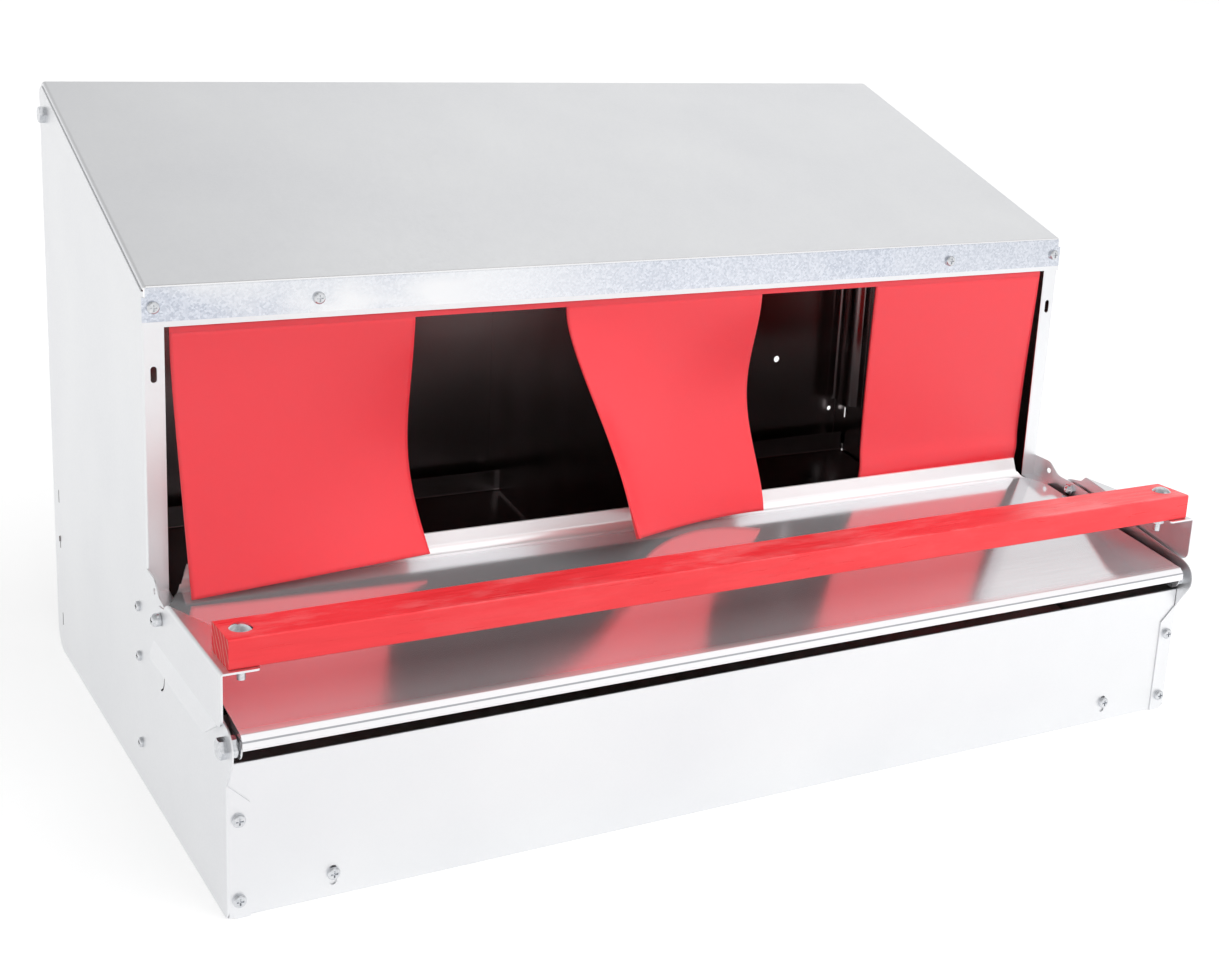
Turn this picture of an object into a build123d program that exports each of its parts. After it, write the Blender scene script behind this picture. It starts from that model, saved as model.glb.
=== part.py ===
from build123d import *
from math import asin, atan, atan2, cos, degrees, hypot, radians, sin, tan
import os

os.makedirs("parts", exist_ok=True)

# Millimetres, +Z up, the front faces -Y. Until it is saved, a piece is drawn with y measured back
# from the front face of the egg tray; save() then puts the middle of the depth at y = 0.

# Overall size
box_width = 860.0
overall_depth = 530.0
rear_height = 513.0
front_height = 394.0

# Sheet metal
sheet = 1.0
arm_sheet = 1.5
bracket_sheet = 1.5
fold_radius = 2.5
rear_fold_radius = 8.0
base_fold_radius = 21.0
hem_height = 7.0

# Clearances, and how far a cut passes the sheet
seam_gap = 0.1
hole_clearance = 0.2
thread_clearance = 0.05
running_clearance = 0.05
moving_gap = 0.3
overcut = 1.0

# Side panels
hinge_height = 125.0
nose_radius = 16.0
nose_reach = 14.0
throat_drop = 27.0
throat_radius = 5.0
hood_setback = 192.0
side_drop = 4.0
flange_width = 16.0
lower_flange_taper = 14.0
front_corner_radius = 6.0
shoulder_reach = 20.0
shoulder_drop = 1.0
shoulder_foot = (32.0, 11.0)
shoulder_tail = (64.0, 15.0)
shoulder_radius = 12.0
tail_radius = 30.0
flange_slot_drop = 64.5
flange_slot_width = 4.6
flange_slot_length = 12.0
rear_slot_inset = 21.0
rear_slot_width = 2.2
rear_slot_length = 12.0
lower_slot_height = 32.0
upper_slot_height = 148.0
lock_hole_place = (20.0, 10.0)
lock_hole_radius = 2.5
slit_setback = 162.0
slit_height = 113.0
slit_radius = 12.5
slit_width = 1.6
slit_start = 150.0
slit_sweep = 105.0
lid_rest_depth = 24.0

# Roof
fascia_height = 30.0
ear_lap = 4.0
ear_notch = 8.0
relief_depth = 3.0
relief_head = 2.5

# Back and bottom
back_top_drop = 12.0
back_top_notch = 5.0
back_flange_lap = 12.0
back_flange_width = 48.0
back_flange_foot = 160.0
back_flange_head = 45.0
bead_setback = 27.0
bead_crown = 15.0
bead_flank = 7.0
bead_height = 12.0
bead_foot_radius = 5.0
relief_hole_inset = 9.0
relief_hole_drop = 11.0
relief_hole_radius = 2.5
hanging_inset = 85.0
hanging_height = 211.0
hanging_hole_radius = 3.5

# Front panel
panel_drop = 12.0
panel_end_gap = 0.5

# Nest floor
floor_end_gap = 3.0
floor_front_height = 25.0
floor_rear_height = 105.0
floor_front_lip = 17.0
floor_rear_lip = 21.0
floor_notch_width = 14.0
floor_notch_depth = 12.0
floor_tab_reach = 1.0
floor_tab_gap = 0.8
slope_screw_inset = 74.5
slope_screw_height = 18.0
slope_slot_middle = 16.2
slope_slot_width = 5.4
slope_slot_length = 15.0

# Divider
divider_setback = 8.0
divider_gap = 3.0
divider_step = 8.0
divider_top_cut = 14.0
divider_flange = 15.0
divider_flange_inset = 10.0

# Floor brackets
bracket_offset = 26.0
bracket_width = 20.0
bracket_end = 12.0
bracket_foot = 14.0
side_screw_heights = [33.6, 105.0, 145.0]

# Curtain
curtain_end_gap = 20.0
curtain_thickness = 1.5
header_drop = 5.0
header_height = 30.0
clamp_inset = 7.0
clamp_height = 16.0
flap_width = 190.0
flap_overlap = 2.0
left_flap_tilt = -8.4
centre_flap_tilt = -15.0
right_flap_tilt = 1.2

# Egg lid
lid_end_gap = 8.0
lid_front_reach = 8.0
lid_front_rise = 11.0
lid_rear_rise = 41.0
lip_face = 4.0
lip_height = 6.0
lid_bend_radius = 8.0
upstand_height = 17.0
upstand_inset = 24.0
upstand_taper = 6.0
lid_corner_cut = 26.0
ear_radius = 9.0

# Perch
bar_end_gap = 2.5
bar_setback = 0.5
bar_width = 36.5
bar_height = 21.0
bar_edge = 1.2
carriage_inset = 16.5
pivot_place = (50.0, 20.0)
arm_offset = 2.5
arm_nose_reach = 3.5
arm_nose_radius = 8.0
arm_rise = 16.0
arm_fall = 23.0
arm_heel = 19.0
arm_heel_radius = 8.0
arm_crest = 9.0
arm_crest_rise = 10.5
arm_step = 6.0
arm_step_radius = 4.0
arm_flange_width = 27.0
arm_flange_straight = 58.0
arm_flange_radius = 12.0
arm_lip = 13.0
arm_lip_start = 18.0
arm_lip_radius = 12.0
arm_lip_heel_radius = 7.0
arm_flare = 20.0

# Screw positions
fascia_screw_drop = 15.2
fascia_screw_inset = 131.5
flange_screw_heights = [13.5, 72.5]
roof_bolt_inset = 19.0
roof_bolt_drop = 30.0

# Fasteners: shank radius, head radius or width across flats, head height, nut width, nut height
m4_shank, m4_head, m4_head_height, m4_nut, m4_nut_height = 2.0, 4.0, 2.6, 7.0, 3.2
m5_shank, m5_head, m5_head_height, m5_nut, m5_nut_height = 2.5, 4.7, 3.0, 8.0, 4.0
m6_shank, m6_head, m6_head_height, m6_nut, m6_nut_height = 3.0, 8.0, 3.4, 10.0, 5.0
m8_shank, m8_hex, m8_head_height, m8_nut_height = 4.0, 13.0, 5.3, 6.5
washer_radius, washer_thickness = 6.0, 1.6
pivot_head, pivot_head_height = 5.0, 6.5
cap_height, cap_wall = 6.5, 2.0
recess_width = 1.1
thread_end = 2.0
carriage_end = 7.0

# Derived positions
half = box_width / 2
inside = half - sheet
fit_half = inside - seam_gap
back = overall_depth - nose_reach
fascia = hood_setback - sheet
curtain_y = hood_setback + sheet
clamp_y = curtain_y + curtain_thickness
panel_y = sheet + seam_gap
panel_top = hinge_height - panel_drop
flange_edge = half - flange_width
flange_mid = half - flange_width / 2
hinge_setback = nose_radius - nose_reach
lower_flange_top = hinge_height - throat_drop
lid_front = hinge_setback - lid_front_reach
lid_front_height = hinge_height + lid_front_rise
lid_rear_height = hinge_height + lid_rear_rise
lid_half = half - lid_end_gap
upstand_top = lid_rear_height + upstand_height
upstand_half = half - upstand_inset
pivot_setback = hood_setback - pivot_place[0]
pivot_height = upstand_top - pivot_place[1]
rear_slot_setback = back - rear_slot_inset
floor_lip_y = panel_y + 2 * sheet + seam_gap * 2
floor_rear = rear_slot_setback + sheet / 2
floor_half = inside - floor_end_gap
bracket_setback = hood_setback + bracket_offset
roof_bolt = (back - roof_bolt_inset, rear_height - roof_bolt_drop)
fascia_screw_height = front_height - fascia_screw_drop
roof_slope = (rear_height - front_height) / (back - fascia)
floor_slope = (floor_rear_height - floor_front_height) / (floor_rear - floor_lip_y)
lid_slope = lid_rear_rise - lid_front_rise
lid_slope /= fascia - lid_front
m5_hole = Circle(m5_shank + hole_clearance)
m6_hole = Circle(m6_shank + hole_clearance)
m8_hole = Circle(m8_shank + hole_clearance)


def roof_top(y):
    """Height of the roof's top face at a depth."""
    return front_height + (y - fascia) * roof_slope


def floor_under(y):
    """Height of the nest floor's underside at a depth."""
    return floor_front_height + (y - floor_lip_y) * floor_slope


def lid_top(y):
    """Height of the egg lid's top face at a depth."""
    return lid_rear_height - (fascia - y) * lid_slope


def steep(thickness, slope):
    """Upright thickness of a sheet that lies at a slope."""
    return thickness / cos(atan(slope))


def outline(points, radii={}):
    """Closed flat outline; radii gives the rounding of some corners by their number."""
    face = make_face(Polyline(*points, close=True))
    for number, radius in radii.items():
        corner = face.vertices().sort_by_distance(points[number])[0]
        face = fillet(corner, radius)
    return face


def folded(points, thickness, radius):
    """Section of a folded sheet; the sheet lies to the left of the line through the points."""
    line = FilletPolyline(*points, radius=radius)
    return make_face(offset(line, amount=thickness, side=Side.LEFT, closed=True))


def across(face, x0, x1):
    """Solid along X from a face drawn in depth and height."""
    return extrude(Plane.YZ.offset(x0) * face, x1 - x0)


def through(face, y0, y1):
    """Solid along Y from a face drawn in x and height."""
    return extrude(Plane.XZ.offset(-y1) * face, y1 - y0)


def upright(face, z0, z1):
    """Solid along Z from a face drawn in x and depth."""
    return extrude(Plane.XY.offset(z0) * face, z1 - z0)


def block(x0, x1, y0, y1, z0, z1):
    """Plain block between two corners."""
    middle = Pos((x0 + x1) / 2, (y0 + y1) / 2, (z0 + z1) / 2)
    return middle * Box(x1 - x0, y1 - y0, z1 - z0)


def slot_face(u, v, width, height):
    """Upright slot with round ends, centred on a point of a flat face."""
    return Pos(u, v) * SlotOverall(height, width, rotation=90)


def twin(solid):
    """The same piece on the other side."""
    return mirror(solid, about=Plane.YZ)


def pair(solid):
    """A left piece and its twin as one group of solids."""
    return [solid, twin(solid)]


def save(name, *solids):
    """Puts the middle of the depth at zero and writes one node."""
    placed = [Pos(0, nose_reach - overall_depth / 2, 0) * solid for solid in solids]
    shape = placed[0] if len(placed) == 1 else Compound(placed)
    export_step(shape, "parts/" + name + ".step")


def turned(points):
    """Solid of revolution about Z from a section in radius and height."""
    return revolve(Plane.XZ * make_face(Polyline(*points, close=True)), Axis.Z)


def rod(radius, z0, z1):
    """Round rod along Z."""
    return upright(Circle(radius), z0, z1)


def hexagon(width, height):
    """Hexagon prism on z = 0 with bevelled corners on top."""
    corner = width / 2 / cos(radians(30))
    rim = width * 0.475
    bevel = (corner - rim) * tan(radians(30))
    prism = upright(RegularPolygon(width / 2, 6, major_radius=False), 0, height)
    return prism & turned([(0, 0), (corner, 0), (corner, height - bevel), (rim, height), (0, height)])


def hex_bolt(shank, width, head_height, length):
    """Hexagon bolt along Z, head above z = 0."""
    return hexagon(width, head_height) + rod(shank, -length, head_height / 2)


def nut(shank, width, height):
    """Hexagon nut standing on z = 0."""
    return hexagon(width, height) - rod(shank + thread_clearance, -overcut, height + overcut)


def pan_screw(shank, head, head_height, length):
    """Pan-head screw along Z with a cross recess, head above z = 0."""
    disc = rod(head, 0, head_height)
    disc = fillet(disc.edges().sort_by(Axis.Z)[-1], head_height * 0.55)
    arm = head * 0.55
    wide = recess_width / 2
    blade = block(-arm, arm, -wide, wide, head_height * 0.45, head_height + overcut)
    return disc + rod(shank, -length, head_height * 0.3) - blade - Rot(0, 0, 90) * blade


def ring(radius, bore, height):
    """Flat washer standing on z = 0."""
    return rod(radius, 0, height) - rod(bore, -overcut, height + overcut)


def at_left(x, y, z):
    """Place on the left side, Z of the piece pointing out of the box."""
    return Plane(origin=(-x, y, z), x_dir=(0, 1, 0), z_dir=(-1, 0, 0)).location


def at_left_inside(x, y, z):
    """Place inside the left side, Z of the piece pointing into the box."""
    return Plane(origin=(-x, y, z), x_dir=(0, 1, 0), z_dir=(1, 0, 0)).location


def at_front(x, y, z):
    """Place on a front face, Z of the piece pointing to the front."""
    return Plane(origin=(x, y, z), x_dir=(1, 0, 0), z_dir=(0, -1, 0)).location


def behind(x, y, z):
    """Place behind a front face, Z of the piece pointing to the back."""
    return Plane(origin=(x, y, z), x_dir=(1, 0, 0), z_dir=(0, 1, 0)).location


def fold_waste(y, z0, z1):
    """What is taken off the left side panel's square fold at a depth to round it."""
    radius = fold_radius * 0.7
    square = Pos(-half + radius / 2, y + radius / 2) * Rectangle(radius, radius)
    return upright(square - Pos(-half + radius, y + radius) * Circle(radius), z0, z1)


def shoulder(place):
    """Point of the side panel measured forward of the hood and down from the lid's upstand."""
    return hood_setback - place[0], upstand_top - place[1]


def nose_corner():
    """Corner whose rounding is the nose: where its two tangents from throat and shoulder meet."""
    lines = []
    for start, side in ((shoulder(shoulder_tail), -1), ((0.0, lower_flange_top), 1)):
        dy = hinge_setback - start[0]
        dz = hinge_height - start[1]
        turn = side * asin(nose_radius / hypot(dy, dz))
        lines.append((start, atan2(dz, dy) + turn))
    (a, p), (b, q) = lines
    step = ((b[0] - a[0]) * sin(q) - (b[1] - a[1]) * cos(q)) / sin(q - p)
    return a[0] + step * cos(p), a[1] + step * sin(p)


# Left side panel: plate, two front flanges and the rest for the lid
upper_flange_top = roof_top(hood_setback) - side_drop
rest_top = lid_top(hood_setback) - steep(sheet, lid_slope) - moving_gap
side_points = [
    (0, 0),
    (back, 0),
    (back, roof_top(back) - side_drop),
    (hood_setback, upper_flange_top),
    (hood_setback, upstand_top),
    shoulder((shoulder_reach, shoulder_drop)),
    shoulder(shoulder_foot),
    shoulder(shoulder_tail),
    nose_corner(),
    (0, lower_flange_top),
]
side_radii = {
    0: front_corner_radius,
    1: base_fold_radius + sheet,
    2: rear_fold_radius,
    5: shoulder_radius,
    6: shoulder_radius,
    7: tail_radius,
    8: nose_radius,
    9: throat_radius,
}
side = across(outline(side_points, side_radii), -half, -inside)
side += block(-half, -flange_edge, hood_setback, curtain_y, rest_top, upper_flange_top)
lower_flange = outline(
    [
        (-half, front_corner_radius),
        (-half + front_corner_radius, 0),
        (-flange_edge, 0),
        (-flange_edge, lower_flange_top - lower_flange_taper),
        (-inside, lower_flange_top),
        (-half, lower_flange_top),
    ]
)
side += through(lower_flange, 0, sheet)
rest = block(-half, -flange_edge, -lid_rest_depth, sheet / 2, -sheet, 0)
side += Pos(0, hood_setback, rest_top) * Rot(degrees(atan(lid_slope)), 0, 0) * rest
side -= fold_waste(0, 0, lower_flange_top)
side -= fold_waste(hood_setback, upstand_top, upper_flange_top)
rear_slot_heights = [lower_slot_height, floor_rear_height + sheet / 2, upper_slot_height]
slit_arc = CenterArc((slit_setback, slit_height), slit_radius, slit_start, slit_sweep)
side_cuts = [
    Pos(*shoulder(lock_hole_place)) * Circle(lock_hole_radius),
    Pos(pivot_setback, pivot_height) * m6_hole,
    Pos(hinge_setback, hinge_height) * m8_hole,
    Pos(*roof_bolt) * m8_hole,
    SlotArc(slit_arc, slit_width),
]
side_cuts += [slot_face(rear_slot_setback, z, rear_slot_width, rear_slot_length) for z in rear_slot_heights]
side_cuts += [Pos(bracket_setback, z) * Circle(m4_shank + hole_clearance) for z in side_screw_heights]
for cut in side_cuts:
    side -= across(cut, -half - overcut, -inside + overcut)
flange_slot = slot_face(-flange_mid, front_height - flange_slot_drop, flange_slot_width, flange_slot_length)
for cut in (flange_slot, Pos(-flange_mid, fascia_screw_height) * m5_hole):
    side -= through(cut, fascia, curtain_y + overcut)
for z in flange_screw_heights:
    side -= through(Pos(-flange_mid, z) * m5_hole, -overcut, sheet + overcut)
save("left_side_panel", side)
save("right_side_panel", twin(side))


def hood(inset, depth):
    """Solid block of the roof's outside, or of its inside when inset is the sheet thickness."""
    lower = steep(inset, roof_slope)
    y0, y1 = fascia + inset, back - inset
    tops = [(y, roof_top(y) - lower) for y in (y0, y1)]
    feet = [(y, z - depth) for y, z in tops]
    face = outline([feet[0], *tops, feet[1]], {1: fold_radius - inset, 2: rear_fold_radius - inset})
    width = fit_half - inset
    solid = across(face, -width, width)
    sides = [solid.edges().filter_by_position(Axis.X, x, x) for x in (-width, width)]
    crests = [edges.sort_by(SortBy.LENGTH)[-2:].sort_by(Axis.Z)[-1] for edges in sides]
    return fillet(crests, fold_radius - inset)


# Roof: one folded sheet with fascia, side flanges and rear flange
fascia_foot = front_height - fascia_height
roof = hood(0, fascia_height) - hood(sheet, fascia_height * 2)
relief = block(
    fit_half - sheet - fold_radius, half, hood_setback, curtain_y + relief_depth, 0, front_height - relief_head
)
fascia_ear = block(fit_half - ear_lap, half, fascia, hood_setback, fascia_foot, front_height - ear_notch)
roof -= pair(relief)
roof += pair(fascia_ear)
hem_half = flange_edge - 2 * sheet
roof += block(-hem_half, hem_half, hood_setback - sheet / 2, curtain_y, fascia_foot, fascia_foot + hem_height)
inner_screw = half - fascia_screw_inset
fascia_screw_xs = [-flange_mid, -inner_screw, inner_screw, flange_mid]
for x in fascia_screw_xs:
    roof -= through(Pos(x, fascia_screw_height) * m5_hole, fascia - overcut, hood_setback + overcut)
roof -= across(Pos(*roof_bolt) * m8_hole, -half, half)
save("roof_panel", roof)

# Back and bottom: one sheet with a large bend along the rear edge
shell_front = panel_y + sheet + seam_gap
shell_back = back - sheet - seam_gap
inner_back = shell_back - sheet
shell_top = roof_top(shell_back) - back_top_drop
flange_top = shell_top - back_flange_head
shell_line = [(shell_front, 0), (shell_back, 0), (shell_back, shell_top)]
shell = across(folded(shell_line, sheet, base_fold_radius), -fit_half, fit_half)
bead_middle = inner_back - bead_setback
bead_top = -fit_half + bead_height
bead_rear, bead_front = bead_middle + bead_crown / 2, bead_middle - bead_crown / 2
flange_line = [
    (-fit_half + back_flange_lap, inner_back + sheet / 2),
    (-fit_half, inner_back + sheet / 2),
    (-fit_half, bead_rear + bead_flank),
    (bead_top, bead_rear),
    (bead_top, bead_front),
    (-fit_half, bead_front - bead_flank),
    (-fit_half, inner_back - back_flange_width),
]
bead_bend = atan2(bead_height, bead_flank)
bead_radius = bead_crown * 0.49 / tan(bead_bend / 2)
flange_radii = [rear_fold_radius, bead_foot_radius, bead_radius, bead_radius, bead_foot_radius]
back_flange = upright(folded(flange_line, sheet, flange_radii), back_flange_foot, flange_top)
top_notch = block(fit_half - back_top_notch, half, inner_back - overcut, back, flange_top, rear_height)
shell += pair(back_flange)
shell -= pair(top_notch)
shell_holes = [(half - hanging_inset, hanging_height, hanging_hole_radius)]
shell_holes += [(half - relief_hole_inset, back_flange_foot - relief_hole_drop, relief_hole_radius)]
for x, z, radius in shell_holes:
    shell -= pair(through(Pos(x, z) * Circle(radius), inner_back - overcut, back))
save("back_and_bottom", shell)

# Front panel of the egg tray with a hem on top and two upright slots
panel_half = inside - panel_end_gap
panel_back = panel_y + sheet
panel = block(-panel_half, panel_half, panel_y, panel_back, sheet, panel_top)
panel += block(-panel_half, panel_half, panel_back - sheet / 2, panel_back + sheet, panel_top - hem_height, panel_top)
panel = fillet(panel.edges().filter_by(Axis.X).group_by(Axis.Z)[-1], sheet * 0.9)
flange_spots = [(x, z) for x in (-flange_mid, flange_mid) for z in flange_screw_heights]
slope_xs = [-half + slope_screw_inset, half - slope_screw_inset]
panel_cuts = [Pos(x, z) * m5_hole for x, z in flange_spots]
panel_cuts += [slot_face(x, slope_slot_middle, slope_slot_width, slope_slot_length) for x in slope_xs]
for cut in panel_cuts:
    panel -= through(cut, 0, panel_back + overcut)
save("front_panel", panel)

# Nest floor: front lip behind the slots, slope, rear lip with a tab in each side slot
floor_points = [
    (floor_lip_y, floor_front_height - floor_front_lip),
    (floor_lip_y, floor_front_height),
    (floor_rear, floor_rear_height),
    (floor_rear, floor_rear_height + floor_rear_lip),
]
floor = across(folded(floor_points, sheet, fold_radius), -floor_half, floor_half)
tab_top = rear_slot_heights[1] + rear_slot_length / 2 - floor_tab_gap
tab = block(
    -half - floor_tab_reach,
    -floor_half + sheet,
    floor_rear - sheet,
    floor_rear,
    floor_rear_height + sheet,
    tab_top,
)
floor_notch = block(floor_half - floor_notch_width, half, 0, floor_notch_depth, 0, floor_rear_height)
floor += pair(tab)
floor -= pair(floor_notch)
for x in slope_xs:
    floor -= through(Pos(x, slope_screw_height) * m5_hole, panel_back, floor_lip_y + overcut)
save("nest_floor", floor)


def over_floor(y):
    """Height of the divider's foot at a depth."""
    return floor_under(y) + steep(sheet, floor_slope) + divider_gap


def under_roof(y):
    """Height of the divider's head at a depth."""
    return roof_top(y) - steep(sheet, roof_slope) - divider_gap


# Divider between the nests with a flange on the back sheet
divider_front = curtain_y + divider_setback
divider_rear = inner_back - seam_gap
step_y = floor_rear - divider_step
step_z = floor_rear_height + floor_rear_lip + divider_gap
divider_head = under_roof(divider_rear) - divider_top_cut
divider_face = outline(
    [
        (divider_front, over_floor(divider_front)),
        (step_y, over_floor(step_y)),
        (step_y, step_z),
        (divider_rear, step_z),
        (divider_rear, divider_head),
        (divider_rear - divider_top_cut, under_roof(divider_rear - divider_top_cut)),
        (divider_front, under_roof(divider_front)),
    ]
)
divider = across(divider_face, -sheet / 2, sheet / 2)
divider += block(
    0,
    divider_flange,
    divider_rear - sheet,
    divider_rear,
    step_z + divider_flange_inset,
    divider_head - divider_flange_inset,
)
save("centre_divider", divider)

# Floor brackets: upright strip on the side panel with a foot under the floor
bracket_half = bracket_width / 2
bracket_inner = inside - bracket_sheet
bracket = block(
    -inside,
    -bracket_inner,
    bracket_setback - bracket_half,
    bracket_setback + bracket_half,
    side_screw_heights[0] - bracket_end,
    side_screw_heights[-1] + bracket_end,
)
foot = block(-inside, -inside + bracket_foot, -bracket_half, bracket_half, -bracket_sheet, 0)
foot_z = floor_under(bracket_setback) - seam_gap
bracket += Pos(0, bracket_setback, foot_z) * Rot(degrees(atan(floor_slope)), 0, 0) * foot
for z in side_screw_heights:
    bracket -= across(Pos(bracket_setback, z) * Circle(m4_shank + hole_clearance), -half, -bracket_inner + overcut)
save("left_floor_bracket", bracket)
save("right_floor_bracket", twin(bracket))

# Curtain: header strip behind the fascia, clamp strip behind it, three hanging flaps. The left and
# centre flaps hang out over the lid's upstand, the right one hangs inside it.
curtain_half = half - curtain_end_gap
clamp_half = curtain_half - clamp_inset
header_top = front_height - header_drop
header_foot = header_top - header_height
clamp_back = clamp_y + bracket_sheet
header = block(-curtain_half, curtain_half, curtain_y, clamp_y, header_foot, header_top)
clamp = block(-clamp_half, clamp_half, clamp_y, clamp_back, header_top - clamp_height, header_top)
for x in (-inner_screw, inner_screw):
    hole = through(Pos(x, fascia_screw_height) * m5_hole, hood_setback, clamp_back + overcut)
    header -= hole
    clamp -= hole
save("curtain_header", header)
save("curtain_clamp", clamp)
flap_top = header_foot - curtain_thickness / 2
flap_length = flap_top - lid_rear_height + flap_overlap
flap = block(-flap_width / 2, flap_width / 2, -curtain_thickness / 2, curtain_thickness / 2, -flap_length, 0)
side_flap = curtain_half - flap_width / 2
for name, x, tilt in (
    ("left_flap", -side_flap, left_flap_tilt),
    ("centre_flap", 0, centre_flap_tilt),
    ("right_flap", side_flap, right_flap_tilt),
):
    save(name, Pos(x, curtain_y + curtain_thickness / 2, flap_top) * Rot(tilt, 0, 0) * flap)

# Egg lid: upstand, sloping top, folded lip and an ear at each end for the hinge bolt
lip_y = lid_front - lip_face
lip_top = lid_front_height - lip_face
lid_points = [
    (fascia, upstand_top),
    (fascia, lid_rear_height),
    (lid_front, lid_front_height),
    (lip_y, lip_top),
    (lip_y, lip_top - lip_height),
]
lid_radii = [lid_bend_radius, fold_radius / 2, fold_radius / 2]
lid = across(folded(lid_points, sheet, lid_radii), -lid_half, lid_half)
upstand_back = fascia + 2 * sheet
lid += block(
    -upstand_half, upstand_half, fascia + sheet / 2, upstand_back, upstand_top - hem_height, upstand_top
)
corner_face = outline(
    [
        (upstand_half, upstand_back + overcut),
        (half, upstand_back + overcut),
        (half, fascia - lid_corner_cut),
        (lid_half, fascia - lid_corner_cut),
        (upstand_half, fascia),
    ]
)
end_face = outline(
    [
        (upstand_half, lid_rear_height),
        (half, lid_rear_height),
        (half, upstand_top + overcut),
        (upstand_half - upstand_taper, upstand_top + overcut),
    ]
)
lid -= pair(upright(corner_face, lid_front_height, upstand_top + overcut))
lid -= pair(through(end_face, fascia - overcut, upstand_back + overcut))
ear_back = hinge_setback + 2 * ear_radius
ear_face = outline(
    [
        (lid_front, hinge_height),
        (hinge_setback + ear_radius, hinge_height),
        (ear_back, lid_top(ear_back) - sheet / 2),
        (lid_front, lid_top(lid_front) - sheet / 2),
    ]
)
ear_face += Pos(hinge_setback, hinge_height) * Circle(ear_radius)
ear_face -= Pos(hinge_setback, hinge_height) * Circle(m8_shank + running_clearance)
lid += pair(across(ear_face, -lid_half, -lid_half + sheet))
save("egg_lid", lid)

# Hinge bolts of the lid
hinge_length = lid_end_gap + sheet + m8_nut_height
hinge_bolt = hex_bolt(m8_shank, m8_hex, m8_head_height, hinge_length)
m8_nut = nut(m8_shank, m8_hex, m8_nut_height)
save("lid_hinge_bolts", *pair(at_left(half, hinge_setback, hinge_height) * hinge_bolt))
save("lid_hinge_nuts", *pair(at_left_inside(inside, hinge_setback, hinge_height) * m8_nut))

# Perch arms: web, flange under the bar, flared lower lip
arm_x = half + arm_offset
arm_out = arm_x + arm_sheet
arm_inner = arm_out - arm_flange_width
arm_top = pivot_height + arm_rise
arm_fold = pivot_height - arm_fall
arm_front = bar_setback - arm_nose_reach
arm_tail = pivot_setback + arm_heel
flange_end = pivot_setback - arm_crest - arm_step
web_points = [
    (arm_front, arm_top),
    (arm_front, arm_fold),
    (arm_tail, arm_fold),
    (arm_tail - arm_step_radius, pivot_height - arm_step_radius),
    (pivot_setback + arm_heel_radius, pivot_height + arm_heel_radius),
    (pivot_setback - arm_crest, pivot_height + arm_crest_rise),
    (flange_end, arm_top),
]
web_radii = {
    1: arm_nose_radius,
    3: arm_heel_radius,
    4: arm_heel_radius,
    5: arm_step_radius,
    6: arm_step_radius,
}
arm = across(outline(web_points, web_radii), -arm_out, -arm_x)
flange_points = [
    (-arm_out, arm_front),
    (-arm_inner, arm_front),
    (-arm_inner, arm_front + arm_flange_straight),
    (-arm_x, flange_end),
    (-arm_out, flange_end),
]
arm_flange = outline(flange_points, {1: fold_radius, 2: arm_flange_radius})
arm += upright(arm_flange, arm_top - arm_sheet, arm_top)
lip_front = arm_front + arm_nose_radius
lip_points = [
    (lip_front, sheet / 2),
    (arm_tail, sheet / 2),
    (arm_tail + sheet, -arm_lip),
    (lip_front + arm_lip_start, -arm_lip),
]
arm_lip_face = outline(lip_points, {2: arm_lip_heel_radius, 3: arm_lip_radius})
lip_sheet = across(arm_lip_face, -arm_sheet / 2, arm_sheet / 2)
arm += Pos(-arm_x - arm_sheet / 2, 0, arm_fold) * Rot(0, arm_flare, 0) * lip_sheet
top_edges = arm.edges().filter_by(Axis.Y).filter_by_position(Axis.X, -arm_out, -arm_out)
arm = fillet(top_edges.group_by(Axis.Z)[-1], fold_radius)
pivot_hole = Pos(pivot_setback, pivot_height) * Circle(m6_shank + running_clearance)
arm -= across(pivot_hole, -arm_out - overcut, -arm_x + overcut)
carriage_x = half - carriage_inset
carriage_y = bar_setback + bar_width / 2
arm -= upright(Pos(-carriage_x, carriage_y) * m6_hole, arm_top - arm_sheet - overcut, arm_top + overcut)
save("left_perch_arm", arm)
save("right_perch_arm", twin(arm))

# Perch bar with a bolt hole at each end
bar_half = half - bar_end_gap
bar_top = arm_top + bar_height
bar = block(-bar_half, bar_half, bar_setback, bar_setback + bar_width, arm_top, bar_top)
bar = fillet(bar.edges().filter_by(Axis.X), bar_edge)
for x in (-carriage_x, carriage_x):
    bar -= upright(Pos(x, carriage_y) * m6_hole, arm_top - overcut, bar_top + overcut)
save("perch_bar", bar)

# Carriage bolts of the bar with washers and nuts under the arms' flanges
dome_radius = (m6_head**2 + m6_head_height**2) / (2 * m6_head_height)
dome = Pos(0, 0, m6_head_height - dome_radius) * Sphere(dome_radius)
dome &= rod(m6_head, 0, m6_head_height)
grip = bar_height + arm_sheet + washer_thickness
carriage = dome + rod(m6_shank, -grip - m6_nut_height - carriage_end, m6_head_height / 2)
on_bar = Pos(-carriage_x, carriage_y, bar_top)
under_bar = on_bar * Pos(0, 0, -grip)
washer = ring(washer_radius, m6_shank + hole_clearance, washer_thickness)
carriage_nut = Rot(180, 0, 0) * nut(m6_shank, m6_nut, m6_nut_height)
save("carriage_bolts", *pair(on_bar * carriage))
save("carriage_washers", *pair(under_bar * washer))
save("carriage_nuts", *pair(under_bar * carriage_nut))

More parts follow.
